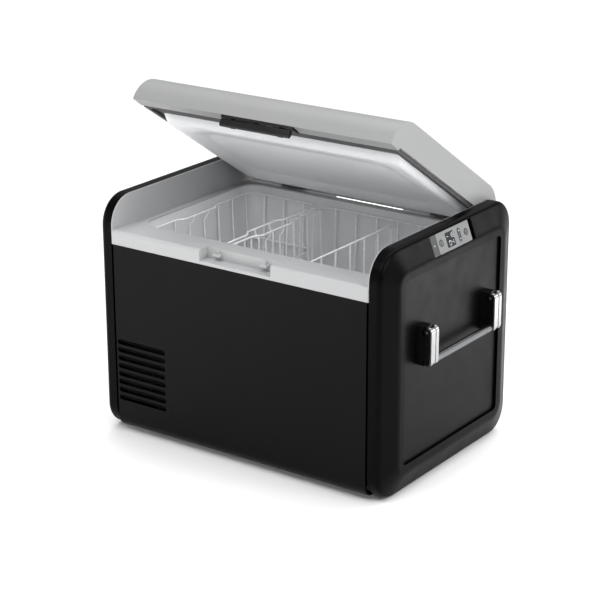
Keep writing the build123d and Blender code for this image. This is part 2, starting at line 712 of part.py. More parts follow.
def round_button(x):
    """Push button with a shallow dished face and a stem over its switch."""
    cap = Pos(x, 0, FASCIA_TOP - 1.3) * Cylinder(BUTTON_RADIUS, 3.4)
    cap -= Pos(x, 0, FASCIA_TOP + 22.0) * Sphere(21.8)
    cap += Pos(x, 0, FASCIA_TOP - 3.6) * Cylinder(2, 2.0)
    return on_slope(cap)


def level_rocker():
    """Oval rocker for up and down, on a trunnion."""
    slot = Rot(0, 0, 90) * SlotOverall(*ROCKER)
    rocker = extrude(Pos(ROCKER_X, 0, FASCIA_TOP - 2.4) * slot, 2.8)
    rocker -= Pos(ROCKER_X, 0, FASCIA_TOP + 48.0) * Sphere(48.0)
    rocker += box(ROCKER_X - 4, ROCKER_X + 4, -1.8, 1.8, TRUNNION_Z - 1.2, FASCIA_TOP - 2)
    return on_slope(rocker + rod_x(ROCKER_X - 6.6, ROCKER_X + 6.6, 0, TRUNNION_Z, TRUNNION))


def panel_board():
    """Small circuit board under the fascia, with a switch under each button."""
    top = -HOUSING_DEPTH + 4.6
    board = plate(0, (POCKET[0] - 12, 28), 1, top - 1.6, top)
    for x in (*BUTTON_X, ROCKER_X):
        board += plate(x, (6, 6), 0.5, top - 0.5, top + 1.2)
    return on_slope(board)


def handle_arm_outline(inset):
    """One arm in X and Z: round about its pivot at the top, rounded at its outer bottom."""
    out = HANDLE_OUT - inset
    bottom = ARM_BOTTOM + inset
    corner = ARM_CORNER - inset
    radius = PIVOT_ROUND - inset
    shoulder = PIVOT_Z + (radius**2 - (PIVOT_X - ARM_IN) ** 2) ** 0.5
    return outline(
        [
            (ARM_IN, bottom),
            (ARM_IN, shoulder),
            ("arc", radius, (out, PIVOT_Z)),
            (out, bottom + corner),
            ("arc", corner, (out - corner, bottom)),
        ]
    )


def arm_middles():
    """Where the two arms of a handle are along Y."""
    return (HANDLE_Y - HANDLE_SPAN / 2, HANDLE_Y + HANDLE_SPAN / 2)


def tongue_slot(y):
    """Room in the arm for the base's tongue, over the whole fold."""
    slot = rod_y(PIVOT_X, y - 6.4, y + 6.4, PIVOT_Z, 6.6)
    return slot + box(ARM_IN - 10, PIVOT_X + 5.1, y - 6.4, y + 6.4, PIVOT_Z - 5.1, PIVOT_Z + 12)


def handle_arms():
    """Black cores of the two arms."""
    arms = []
    for y in arm_middles():
        arm = slab_y(handle_arm_outline(STRAP), y - ARM_WIDTH / 2, y + ARM_WIDTH / 2)
        arm += rod_y(PIVOT_X, y - ARM_WIDTH / 2, y + ARM_WIDTH / 2, PIVOT_Z, PIVOT_ROUND - STRAP)
        arm -= tongue_slot(y)
        arm -= rod_y(PIVOT_X, y - 20, y + 20, PIVOT_Z, PIVOT_PIN)
        arm -= bar_rod()
        arms.append(arm)
    return Compound(children=arms)


def handle_straps():
    """Aluminium straps round the outside of the arms, with a groove down the middle."""
    straps = []
    for y in arm_middles():
        half = ARM_WIDTH / 2
        outer = slab_y(handle_arm_outline(0), y - half, y + half)
        inner = slab_y(handle_arm_outline(STRAP), y - half - 1, y + half + 1)
        strap = outer - inner - tongue_slot(y)
        strap -= slab_y(handle_arm_outline(0), y - 4, y + 4) - slab_y(handle_arm_outline(0.9), y - 5, y + 5)
        strap -= rod_y(PIVOT_X, y - 20, y + 20, PIVOT_Z, PIVOT_ROUND - STRAP)
        strap -= box(ARM_IN - 1, ARM_IN + 3.5, y - 20, y + 20, PIVOT_Z - 5, PIVOT_Z + 12)
        strap -= bar_rod()
        straps.append(strap)
    return Compound(children=straps)


def bar_rod():
    """Round grip bar between the arms."""
    low, high = arm_middles()
    return rod_y(BAR_X, low + ARM_WIDTH / 2 - 8, high - ARM_WIDTH / 2 + 8, BAR_Z, BAR_RADIUS)


def handle_base():
    """Fixed blocks on the end panel, each with a tongue for the pivot pin."""
    bases = []
    for y in arm_middles():
        half = ARM_WIDTH / 2
        base = box(PANEL_FACE, ARM_IN - GAP, y - half, y + half, ARM_BOTTOM, PIVOT_Z + PIVOT_ROUND)
        upright = base.edges().filter_by(Axis.X)
        base = fillet(upright, 1.5)
        base -= rod_y(PIVOT_X, y - 20, y + 20, PIVOT_Z, PIVOT_ROUND + GAP)
        base -= rod_y(BAR_X, y - 20, y + 20, BAR_Z, BAR_RADIUS + GAP)
        base += rod_y(PIVOT_X, y - 6, y + 6, PIVOT_Z, 6)
        base += box(ARM_IN - 8, PIVOT_X, y - 6, y + 6, PIVOT_Z - 4.5, PIVOT_Z + 4.5)
        bases.append(base - rod_y(PIVOT_X, y - 20, y + 20, PIVOT_Z, PIVOT_PIN + RUNNING))
    return Compound(children=bases)


def handle_pins():
    """Pivot pins of the two arms."""
    pins = []
    for y in arm_middles():
        pins.append(rod_y(PIVOT_X, y - ARM_WIDTH / 2, y + ARM_WIDTH / 2, PIVOT_Z, PIVOT_PIN))
    return Compound(children=pins)


def base_pan():
    """Steel floor with a grille under the condenser."""
    pan = box(-291, 291, FRONT + 26, REAR - 26, FOOT_HEIGHT, PANEL_BOTTOM)
    for x, y in base_screw_places():
        pan -= rod_z(x, y, 0, 20, 2.2)
    for row in range(6):
        y = -45 + row * 14.0
        pan -= Pos(-205, y, PANEL_BOTTOM) * extrude(SlotOverall(90, 6), 8, both=True)
    return pan


def base_screw_places():
    """Where the screws in the floor are, in X and Y."""
    return [(x, y) for x in (-275, 0, 275) for y in (-185, 185)]


def base_screws():
    """Flanged screws that hold the floor."""
    screws = []
    for x, y in base_screw_places():
        head = rod_z(x, y, FOOT_HEIGHT - 2, FOOT_HEIGHT, 4.2)
        screws.append(head + rod_z(x, y, FOOT_HEIGHT - 0.5, PANEL_BOTTOM - 0.2, 2.0))
    return Compound(children=screws)


def feet():
    """Four rubber pads."""
    pads = []
    for x in (-FOOT_X, FOOT_X):
        for y in (-FOOT_Y, FOOT_Y):
            pad = rod_z(x, y, 0, FOOT_HEIGHT, FOOT_RADIUS)
            pads.append(fillet(pad.edges().sort_by(Axis.Z)[0], 1.2))
    return Compound(children=pads)


def condenser():
    """Fin block with tubes running through it."""
    y0, y1 = CONDENSER_Y
    x0, x1 = FAN_X - CONDENSER_HALF, FAN_X + CONDENSER_HALF
    z0, z1 = FAN_Z - CONDENSER_HALF, FAN_Z + CONDENSER_HALF
    block = box(x0, x0 + 2, y0, y1, z0, z1) + box(x1 - 2, x1, y0, y1, z0, z1)
    for row in range(6):
        z = z0 + 10 + row * (z1 - z0 - 20) / 5
        block += rod_x(x0 - 5, x1 + 5, (y0 + y1) / 2, z, 4)
    for i in range(1, FIN_COUNT):
        x = x0 + i * (x1 - x0) / FIN_COUNT
        block += box(x - 0.4, x + 0.4, y0 + 1, y1 - 1, z0 + 1, z1 - 1)
    return block


def fan_frame():
    """Square fan housing with a motor seat on three struts."""
    y0, y1 = FAN_Y
    frame = box(FAN_X - FAN_HALF, FAN_X + FAN_HALF, y0, y1, FAN_Z - FAN_HALF, FAN_Z + FAN_HALF)
    frame = fillet(frame.edges().filter_by(Axis.Y), 4)
    frame -= rod_y(FAN_X, y0 - 1, y1 + 1, FAN_Z, FAN_BORE)
    for turn in (90, 210, 330):
        strut = Box(FAN_BORE + 1, 4, 5)
        frame += Pos(FAN_X, y1 - 2, FAN_Z) * Rot(0, turn, 0) * Pos((FAN_BORE + 1) / 2, 0, 0) * strut
    frame += rod_y(FAN_X, y1 - 5, y1, FAN_Z, FAN_HUB)
    for x in (-39, 39):
        for z in (-39, 39):
            frame -= rod_y(FAN_X + x, y0 - 1, y1 + 1, FAN_Z + z, 2.2)
    return frame - rod_y(FAN_X, y1 - 6, y1 + 1, FAN_Z, FAN_SHAFT + RUNNING)


def fan_rotor():
    """Hub, shaft and raked blades."""
    y0, y1 = FAN_Y
    rotor = rod_y(FAN_X, y0 + 2, y1 - 6, FAN_Z, FAN_HUB)
    rotor += rod_y(FAN_X, y1 - 7, y1 - 1, FAN_Z, FAN_SHAFT)
    blade = Pos(28.5, 0, 0) * Rot(35, 0, 0) * Box(26, 1.6, 17)
    for i in range(FAN_BLADES):
        rotor += Pos(FAN_X, (y0 + y1) / 2 - 2, FAN_Z) * Rot(0, i * 360 / FAN_BLADES, 0) * blade
    return rotor


def compressor():
    """Sealed round can with a domed lid, a foot plate and a terminal box."""
    x, y = COMPRESSOR_X, COMPRESSOR_Y
    can = rod_z(x, y, MOUNT_TOP + 4, CAN_TOP, CAN_RADIUS)
    can = fillet(can.edges().sort_by(Axis.Z)[-1], 26)
    can += rod_z(x, y, CAN_TOP - 40, CAN_TOP - 34, CAN_RADIUS + 3)
    foot_x, foot_y = MOUNT_X + 10, MOUNT_Y + 10
    can += box(x - foot_x, x + foot_x, y - foot_y, y + foot_y, MOUNT_TOP, MOUNT_TOP + 4)
    can += rod_z(x + 30, y - 20, CAN_TOP - 10, CAN_TOP + 10, 5)
    can += rod_z(x - 30, y + 20, CAN_TOP - 10, CAN_TOP + 6, 5)
    return can + box(x - 28, x + 28, y - 76, y - 50, 40, 90)


def compressor_mounts():
    """Rubber grommets between the foot plate and the pan."""
    mounts = []
    waist = (PANEL_BOTTOM + 7, PANEL_BOTTOM + 12)
    for dx in (-MOUNT_X, MOUNT_X):
        for dy in (-MOUNT_Y, MOUNT_Y):
            x, y = COMPRESSOR_X + dx, COMPRESSOR_Y + dy
            mount = rod_z(x, y, PANEL_BOTTOM, waist[0], 9) + rod_z(x, y, waist[1], MOUNT_TOP, 9)
            mounts.append(mount + rod_z(x, y, *waist, 6.5))
    return Compound(children=mounts)


def control_board():
    """Power electronics on an aluminium heat spreader."""
    x, y0, z0 = BAY_RIGHT - 12, -60.0, 40.0
    board = box(x, x + 1.6, y0, y0 + 110, z0, z0 + 90)
    board += box(x + 1.4, x + 6, y0 + 6, y0 + 104, z0 + 6, z0 + 84)
    for i in range(4):
        board += box(x - 14, x + 0.2, y0 + 12 + i * 24, y0 + 26 + i * 24, z0 + 14, z0 + 34)
    for i in range(3):
        board += Pos(x - 10, y0 + 24 + i * 30, z0 + 62) * Rot(0, 90, 0) * Cylinder(8, 20.4)
    return board


def inlet_hole(name):
    """Opening in the rear panel for a power inlet."""
    x, z, width, height = INLETS[name]
    return box(x - width / 2, x + width / 2, REAR - 8, REAR + 2, z - height / 2, z + height / 2)


def inlet(name, contacts):
    """Recessed socket with its contacts standing on the floor of the recess."""
    x, z, width, height = INLETS[name]
    half_x, half_z = width / 2 - 0.2, height / 2 - 0.2

    def block(grow, y0, y1):
        return box(x - half_x - grow, x + half_x + grow, y0, y1, z - half_z - grow, z + half_z + grow)

    flange_y = REAR - WALL - 0.2
    body = block(0, REAR - INLET_DEPTH, REAR) + block(3, flange_y - 2.5, flange_y)
    body -= block(-3, REAR - INLET_DEPTH + 4, REAR + 1)
    for i in range(contacts):
        contact_x = x + (i - (contacts - 1) / 2) * 8
        body += box(contact_x - 1, contact_x + 1, REAR - INLET_DEPTH + 3, REAR - 13, z - 2.5, z + 2.5)
    return body


def rear_panel():
    """The front panel's pattern turned round, with the two inlets below its louvres."""
    panel = Rot(0, 0, 180) * body_panel(PANEL_HALF - 4 - LOUVRE_LENGTH, REAR_LOUVRE_Z)
    for name in INLETS:
        panel -= inlet_hole(name)
    return panel


def opened(shape):
    """Turn a piece of the shut lid to its rest angle."""
    hinge = Axis((0, HINGE_Y, HINGE_Z), (-1, 0, 0))
    return shape.rotate(hinge, LID_ANGLE)


def build():
    """Every piece of the fridge, by node name."""
    right_cap = end_cap()
    plate_round_tub = evaporator()
    nodes = {
        "base_pan": base_pan(),
        "base_screws": base_screws(),
        "feet": feet(),
        "front_panel": body_panel(-PANEL_HALF + 3, FRONT_LOUVRE_Z),
        "rear_panel": rear_panel(),
        "left_end_cap": mirror(right_cap, about=Plane.YZ),
        "right_end_cap": right_cap - control_pocket(),
        "right_end_panel": end_panel(),
        "left_end_panel": mirror(end_panel(), about=Plane.YZ),
        "top_frame": top_frame(),
        "inner_liner": inner_liner(),
        "insulation": insulation(plate_round_tub),
        "evaporator": plate_round_tub,
        "led_lens": led_lens(),
        "latch_catches": latch_catches(),
        "compressor": compressor(),
        "compressor_mounts": compressor_mounts(),
        "condenser": condenser(),
        "fan_frame": fan_frame(),
        "fan_rotor": fan_rotor(),
        "control_board": control_board(),
        "mains_inlet": inlet("mains_inlet", 3),
        "battery_inlet": inlet("battery_inlet", 2),
        "control_housing": control_housing(),
        "control_fascia": control_fascia(),
        "indicator_tab": indicator_tab(),
        "status_light": status_light(),
        "display_window": display_window(),
        "panel_board": panel_board(),
        "power_button": round_button(BUTTON_X[0]),
        "menu_button": round_button(BUTTON_X[1]),
        "level_rocker": level_rocker(),
        "left_basket": left_basket(),
        "right_basket": right_basket(),
        "basket_divider": basket_divider(),
    }
    handle = {
        "handle_base": handle_base(),
        "handle_arms": handle_arms(),
        "handle_straps": handle_straps(),
        "handle_bar": bar_rod(),
        "handle_pins": handle_pins(),
    }
    for name, shape in handle.items():
        nodes["right_" + name] = shape
        nodes["left_" + name] = mirror(shape, about=Plane.YZ)
    hinge_leaves = [hinge_leaf(-HINGE_X), hinge_leaf(HINGE_X)]
    lid = {
        "lid_shell": lid_shell(),
        "lid_foam": lid_foam(hinge_leaves),
        "lid_liner": lid_liner(),
        "lid_gasket": lid_gasket(),
        "latch_bracket": latch_bracket(),
        "latch_pin": latch_pin(),
        "latch_flap": latch_flap(),
        "latch_spring": latch_spring(),
    }
    for side, x, leaf in zip(("left", "right"), (-HINGE_X, HINGE_X), hinge_leaves):
        nodes[side + "_hinge_bracket"] = hinge_bracket(x)
        lid[side + "_hinge_leaf"] = leaf
        lid[side + "_hinge_pin"] = hinge_pin(x)
    for name, shape in lid.items():
        nodes[name] = opened(shape)
    return nodes


for node, shape in build().items():
    export_step(shape, f"parts/{node}.step")
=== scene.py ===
import json
from math import ceil, cos, hypot, pi, radians, sin

import bmesh
import bpy
from mathutils import Matrix, Vector


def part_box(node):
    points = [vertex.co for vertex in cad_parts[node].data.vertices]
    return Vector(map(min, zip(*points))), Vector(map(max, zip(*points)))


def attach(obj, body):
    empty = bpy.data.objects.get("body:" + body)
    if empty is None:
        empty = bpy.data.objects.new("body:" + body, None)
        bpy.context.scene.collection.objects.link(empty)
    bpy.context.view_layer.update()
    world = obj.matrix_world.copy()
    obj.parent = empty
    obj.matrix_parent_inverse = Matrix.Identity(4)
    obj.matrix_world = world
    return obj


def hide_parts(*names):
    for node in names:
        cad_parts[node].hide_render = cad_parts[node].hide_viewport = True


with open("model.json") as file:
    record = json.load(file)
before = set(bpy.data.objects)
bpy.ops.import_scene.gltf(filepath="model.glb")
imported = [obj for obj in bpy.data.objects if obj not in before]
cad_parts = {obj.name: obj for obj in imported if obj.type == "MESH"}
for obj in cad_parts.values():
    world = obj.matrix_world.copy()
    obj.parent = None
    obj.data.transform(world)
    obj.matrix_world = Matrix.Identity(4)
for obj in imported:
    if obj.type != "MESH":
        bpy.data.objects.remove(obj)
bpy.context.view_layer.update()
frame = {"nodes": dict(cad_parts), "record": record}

MM = 0.001                        # the scene is in metres


# ---------------------------------------------------------------- materials

class Look:
    """A node material under construction."""

    def __init__(self, name):
        self.material = bpy.data.materials.new(name)
        self.material.use_nodes = True
        self.nodes = self.material.node_tree.nodes
        self.links = self.material.node_tree.links
        self.shader = self.nodes["Principled BSDF"]
        self.place = self.nodes.new("ShaderNodeTexCoord").outputs["Object"]

    def add(self, kind, **inputs):
        """A node with its inputs set or linked; names use spaces as underscores."""
        node = self.nodes.new("ShaderNode" + kind)
        for name, value in inputs.items():
            self.feed(node.inputs[name.replace("_", " ")], value)
        return node

    def feed(self, socket, value):
        """Link a socket to another, or set its value."""
        if isinstance(value, bpy.types.NodeSocket):
            self.links.new(value, socket)
        elif isinstance(value, tuple) and len(value) == 3 and socket.type == "RGBA":
            socket.default_value = (*value, 1.0)
        else:
            socket.default_value = value

    def set(self, **inputs):
        """Link or set inputs of the shader itself."""
        for name, value in inputs.items():
            self.feed(self.shader.inputs[name.replace("_", " ")], value)

    def fix(self, name, value):
        """A constant on the shader's own socket."""
        self.shader.inputs[name].default_value = value

    def noise(self, scale, detail=3.0, stretch=(1, 1, 1)):
        """Noise from 0 to 1 in the object's own space, drawn out where stretch is small."""
        mapping = self.add("Mapping", Vector=self.place, Scale=stretch)
        return self.add("TexNoise", Vector=mapping.outputs[0], Scale=scale, Detail=detail).outputs["Fac"]

    def ramp(self, value, low, high, to_low, to_high):
        """Value moved from one range to another, and kept within it."""
        node = self.add("MapRange", Value=value)
        for name, number in (("From Min", low), ("From Max", high), ("To Min", to_low), ("To Max", to_high)):
            node.inputs[name].default_value = number
        return node.outputs[0]

    def maths(self, operation, a, b):
        """One step of arithmetic."""
        node = self.nodes.new("ShaderNodeMath")
        node.operation = operation
        self.feed(node.inputs[0], a)
        self.feed(node.inputs[1], b)
        return node.outputs[0]

    def mix(self, factor, a, b):
        """A colour from a, where factor is 0, to b, where it is 1."""
        node = self.nodes.new("ShaderNodeMix")
        node.data_type = "RGBA"
        self.feed(node.inputs["Factor"], factor)
        self.feed(node.inputs["A"], a)
        self.feed(node.inputs["B"], b)
        return node.outputs["Result"]

    def bump(self, height, distance, rounding=0.0):
        """Relief, over edges that look rounded by a radius."""
        node = self.add("Bump", Height=height, Distance=distance)
        if rounding:
            self.feed(node.inputs["Normal"], self.add("Bevel", Radius=rounding).outputs[0])
        self.set(Normal=node.outputs[0])
        return self

    def edges(self, radius):
        """1 along convex edges and 0 on flats."""
        rounded = self.add("Bevel", Radius=radius).outputs[0]
        true = self.add("NewGeometry").outputs["Normal"]
        product = self.nodes.new("ShaderNodeVectorMath")
        product.operation = "DOT_PRODUCT"
        self.links.new(rounded, product.inputs[0])
        self.links.new(true, product.inputs[1])
        return self.ramp(product.outputs["Value"], 0.985, 0.9, 0.0, 1.0)


SPECULAR = "Specular IOR Level"
GRAIN = 0.45 * MM           # size and depth of the grain in moulded plastic
GRAIN_DEPTH = 0.02 * MM
WORN_EDGE = 0.9 * MM        # width of the wear along dark edges
ENAMEL_COAT = 0.3


def shade(colour, factor):
    """A colour made darker or lighter."""
    return tuple(channel * factor for channel in colour)


def moulded(name, colour, roughness, specular, mottle=0.06, rounding=0.0):
    """Moulded plastic: fine spark-eroded grain, faint cloudiness, uneven gloss; rounding is in mm."""
    look = Look(name)
    cloud = look.noise(7.0, 4.0)
    fine = look.noise(1 / GRAIN, 2.0)
    handled = look.noise(28.0, 5.0)
    tone = look.ramp(cloud, 0.3, 0.7, 0.0, 1.0)
    look.set(
        Base_Color=look.mix(tone, shade(colour, 1 - mottle), shade(colour, 1 + mottle)),
        Roughness=look.ramp(handled, 0.3, 0.7, roughness - 0.045, roughness + 0.045),
    )
    look.fix(SPECULAR, specular)
    return look.bump(fine, GRAIN_DEPTH, rounding * MM)


def scuffed(name, colour, roughness, specular, worn):
    """Dark moulded plastic whose edges have gone slightly pale in patches."""
    look = moulded(name, colour, roughness, specular)
    base = look.shader.inputs["Base Color"].links[0].from_socket
    patches = look.ramp(look.noise(60.0, 6.0), 0.42, 0.62, 0.0, 1.0)
    wear = look.maths("MULTIPLY", look.edges(WORN_EDGE), patches)
    look.set(Base_Color=look.mix(look.maths("MULTIPLY", wear, 0.45), base, worn))
    return look


def rubber(name, colour, roughness):
    """Soft rubber with a dusty bloom and a slight orange-peel."""
    look = Look(name)
    bloom = look.ramp(look.noise(45.0, 6.0), 0.42, 0.7, 0.0, 1.0)
    look.set(
        Base_Color=look.mix(bloom, colour, tuple(channel + 0.02 for channel in colour)),
        Roughness=look.ramp(look.noise(90.0), 0.3, 0.7, roughness - 0.06, roughness + 0.08),
    )
    look.fix(SPECULAR, 0.35)
    return look.bump(look.noise(900.0, 2.0), 0.03 * MM)


def metal(name, colour, roughness, stretch=(1, 1, 1), brushed=0.0, metallic=1.0):
    """Metal with fine lines, drawn out where stretch is small and deeper by brushed, in mm."""
    look = Look(name)
    lines = look.noise(1400.0, 3.0, stretch)
    smear = look.noise(30.0, 4.0)
    gloss = look.ramp(lines, 0.25, 0.75, roughness - 0.08, roughness + 0.10)
    look.set(
        Base_Color=look.mix(smear, shade(colour, 0.92), shade(colour, 1.06)),
        Metallic=metallic,
        Roughness=gloss,
    )
    return look.bump(lines, (0.004 + brushed) * MM)


def painted_steel(name, colour, roughness):
    """Baked enamel with slight orange peel."""
    look = Look(name)
    cloud = look.noise(12.0, 4.0)
    look.set(
        Base_Color=look.mix(cloud, shade(colour, 0.85), shade(colour, 1.15)),
        Roughness=look.ramp(look.noise(50.0, 4.0), 0.3, 0.7, roughness - 0.05, roughness + 0.07),
    )
    look.fix("Coat Weight", ENAMEL_COAT)
    return look.bump(look.noise(320.0, 2.0), 0.05 * MM)


def coated_wire(name, colour):
    """Wire dipped in plastic: smooth, with slow ripples in the coat."""
    look = Look(name)
    look.set(
        Base_Color=look.mix(look.noise(60.0, 4.0), shade(colour, 0.94), shade(colour, 1.02)),
        Roughness=look.ramp(look.noise(120.0), 0.3, 0.7, 0.2, 0.32),
    )
    return look.bump(look.noise(220.0, 2.0), 0.04 * MM)


def foam(name, colour):
    """Cut polyurethane foam with open cells."""
    look = Look(name)
    voronoi = look.add("TexVoronoi", Vector=look.place, Scale=900.0).outputs["Distance"]
    look.set(
        Base_Color=look.mix(look.noise(20.0, 5.0), shade(colour, 0.9), shade(colour, 1.05)),
        Roughness=look.ramp(voronoi, 0.0, 1.0, 0.8, 0.98),
    )
    return look.bump(voronoi, 0.25 * MM)


def glowing(name, colour, strength):
    """Milky light strip, slightly uneven along its length."""
    look = Look(name)
    spots = look.noise(140.0, 1.0, (1, 0, 0))
    look.set(
        Base_Color=look.mix(look.noise(80.0), shade(colour, 0.95), colour),
        Roughness=look.ramp(look.noise(200.0), 0.3, 0.7, 0.3, 0.42),
        Emission_Color=look.mix(spots, shade(colour, 0.9), colour),
    )
    look.fix("Emission Strength", strength)
    return look


def window(name, colour):
    """Smooth window that reflects little, with faint fingerprints."""
    look = Look(name)
    look.set(
        Base_Color=look.mix(look.noise(90.0, 4.0), shade(colour, 0.8), shade(colour, 1.2)),
        Roughness=look.ramp(look.noise(260.0, 5.0), 0.35, 0.7, 0.08, 0.2),
    )
    look.fix(SPECULAR, 0.03)
    return look


def circuit(name, colour):
    """Solder-mask green with copper tracks under it."""
    look = Look(name)
    tracks = look.add("TexBrick", Vector=look.place, Scale=90.0).outputs["Fac"]
    look.set(
        Base_Color=look.mix(tracks, colour, shade(colour, 1.7)),
        Roughness=look.ramp(look.noise(300.0), 0.3, 0.7, 0.3, 0.42),
    )
    return look.bump(tracks, 0.03 * MM)


PANEL_BLACK = (0.0012, 0.00125, 0.0013)
PANEL_WORN = (0.012, 0.012, 0.0125)
# each slot's look; colours are linear
SLOT_LOOKS = {
    "body_plastic": lambda: scuffed("dark_panel", PANEL_BLACK, 0.38, 0.08, PANEL_WORN),
    "lid_plastic": lambda: moulded("lid_grey", (0.26, 0.262, 0.264), 0.42, 0.35, mottle=0.012),
    "frame_plastic": lambda: moulded("frame_grey", (0.42, 0.423, 0.428), 0.4, 0.4, mottle=0.012),
    # the liner on the lid is a lighter grey than the same plastic inside the box: painted light on the lid's
    # shaded underside
    "liner_plastic": lambda: moulded("liner_grey_painted_light", (0.80, 0.81, 0.825), 0.34, 0.5, mottle=0.012, rounding=16),
    "insulation_foam": lambda: foam("foam", (0.02, 0.02, 0.021)),
    "seal_rubber": lambda: rubber("black_rubber", (0.045, 0.045, 0.046), 0.62),
    "floor_steel": lambda: metal("zinc_plate", (0.55, 0.56, 0.57), 0.42),
    "bright_steel": lambda: metal("bright_steel", (0.62, 0.62, 0.62), 0.28),
    "bare_aluminium": lambda: metal("mill_aluminium", (0.72, 0.73, 0.75), 0.38, (1, 1, 0.05)),
    "compressor_paint": lambda: painted_steel("compressor_enamel", (0.012, 0.012, 0.013), 0.35),
    "black_plastic": lambda: moulded("black_moulding", (0.012, 0.012, 0.0125), 0.5, 0.35),
    "circuit_board": lambda: circuit("board_green", (0.01, 0.09, 0.035)),
    "silver_fascia": lambda: metal("silver_fascia", (0.17, 0.172, 0.175), 0.5, (1, 0.02, 1), 0.003, 0.25),
    "tab_grey": lambda: moulded("tab_grey", (0.045, 0.046, 0.047), 0.45, 0.3),
    "lamp_lens": lambda: window("lamp_lens", (0.62, 0.64, 0.62)),
    "display_glass": lambda: window("display_window", (0.012, 0.013, 0.015)),
    "button_grey": lambda: moulded("button_grey", (0.022, 0.0225, 0.023), 0.42, 0.35),
    "basket_coating": lambda: coated_wire("wire_coating", (0.95, 0.955, 0.96)),
    "light_lens": lambda: glowing("light_strip", (1.0, 1.0, 1.0), 1.6),
    "latch_plastic": lambda: scuffed("latch_black", (0.004, 0.0041, 0.0042), 0.34, 0.3, (0.02, 0.02, 0.02)),
    "hinge_plastic": lambda: scuffed("hinge_grey", (0.2, 0.202, 0.204), 0.45, 0.3, (0.3, 0.3, 0.3)),
    "handle_plastic": lambda: scuffed("handle_black", (0.002, 0.002, 0.0021), 0.42, 0.14, (0.02, 0.02, 0.02)),
    "handle_metal": lambda: metal("brushed_aluminium", (0.34, 0.343, 0.346), 0.26, (1, 1, 0.03), 0.004),
}

NODE_SLOT = {part["node"]: part["material_slot"] for part in frame["record"]["subparts"]}
slot_materials = {slot: SLOT_LOOKS[slot]().material for slot in sorted(set(NODE_SLOT.values()))}


def dress(piece, slot, body, replaces=()):
    """Give a new piece the look of a slot, and make it ride."""
    piece.data.materials.clear()
    piece.data.materials.append(slot_materials[slot])
    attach(piece, body)
    if replaces:
        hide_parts(*replaces)


# looks of single nodes that differ from their slot's
black_cap = scuffed("black_cap", (0.0004, 0.0004, 0.00042), 0.34, 0.05, (0.006, 0.006, 0.0062)).material
end_panel = scuffed("end_panel", PANEL_BLACK, 0.36, 0.075, PANEL_WORN).material
# control pocket: black moulding made darker and duller than the other black plastics, as painted shade in the
# recess
pocket_painted_shade = moulded("pocket_black_painted_shade", (0.0008, 0.0008, 0.0009), 0.5, 0.03).material
grip_metal = metal("grip_metal", (0.12, 0.122, 0.126), 0.3, (1, 0.03, 1), 0.004).material
dark_fins = painted_steel("dark_fins", (0.006, 0.006, 0.0065), 0.5).material
# the same liner plastic, made a darker grey inside the box: painted shade on the inner walls
inner_liner = moulded("inner_liner", (0.76, 0.77, 0.785), 0.34, 0.5, mottle=0.015).material
NODE_LOOKS = {
    "inner_liner": inner_liner,
    "condenser": dark_fins,
    "control_housing": pocket_painted_shade,
    "left_handle_bar": grip_metal,
    "right_handle_bar": grip_metal,
    "left_end_cap": black_cap,
    "right_end_cap": black_cap,
    "left_end_panel": end_panel,
    "right_end_panel": end_panel,
}
for name, node in frame["nodes"].items():
    node.data.materials.clear()
    node.data.materials.append(NODE_LOOKS.get(name, slot_materials[NODE_SLOT[name]]))


# ---------------------------------------------------------------- softened edges

def soften(name, width):
    """Round a CAD node's sharp edges for show; its own mesh isn't touched."""
    node = frame["nodes"][name]
    weld = node.modifiers.new("weld", "WELD")
    weld.merge_threshold = 0.005 * MM
    bevel = node.modifiers.new("round", "BEVEL")
    bevel.width = width
    bevel.segments = 3
    bevel.limit_method = "ANGLE"
    bevel.angle_limit = radians(30)
    bevel.harden_normals = True
    bevel.use_clamp_overlap = True


for name in ("latch_bracket", "latch_flap"):
    soften(name, 0.8 * MM)


# ---------------------------------------------------------------- mesh helpers

def link(name, data):
    """A new object in the scene."""
    piece = bpy.data.objects.new(name, data)
    bpy.context.scene.collection.objects.link(piece)
    return piece


def smooth(mesh, angle):
    """Shade smooth, with edges sharper than angle kept crisp."""
    mesh.polygons.foreach_set("use_smooth", [True] * len(mesh.polygons))
    mesh.set_sharp_from_angle(angle=radians(angle))


CORNER_STEPS = 8                  # straight pieces in a quarter circle


def arc(centre, radius, start, end, steps):
    """Points on a circle in a plane, angles in degrees."""
    turns = [radians(start + (end - start) * i / steps) for i in range(steps + 1)]
    return [(centre[0] + radius * cos(turn), centre[1] + radius * sin(turn)) for turn in turns]


def rounded_loop(x0, x1, y0, y1, radius):
    """A closed rounded rectangle, counter-clockwise from its front right corner."""
    points = []
    corners = (
        ((x1 - radius, y0 + radius), -90),
        ((x1 - radius, y1 - radius), 0),
        ((x0 + radius, y1 - radius), 90),
        ((x0 + radius, y0 + radius), 180),
    )
    for centre, start in corners:
        points += arc(centre, radius, start, start + 90, CORNER_STEPS)
    return points


class Wires:
    """A group of round wires as one curve object."""

    def __init__(self, name, radius):
        self.curve = bpy.data.curves.new(name, "CURVE")
        self.curve.dimensions = "3D"
        self.curve.bevel_depth = radius
        self.curve.bevel_resolution = 3
        self.curve.use_fill_caps = True
        self.name = name

    def add(self, points, closed=False):
        """One wire along a polyline."""
        spline = self.curve.splines.new("POLY")
        spline.points.add(len(points) - 1)
        for slot, point in zip(spline.points, points):
            slot.co = (*point, 1.0)
        spline.use_cyclic_u = closed

    def mesh(self):
        """The wires as a mesh object with smooth shading."""
        holder = link(self.name + "_curve", self.curve)
        bpy.context.view_layer.update()
        mesh = bpy.data.meshes.new_from_object(holder)
        bpy.data.objects.remove(holder)
        mesh.name = self.name
        piece = link(self.name, mesh)
        smooth(mesh, 50)
        return piece


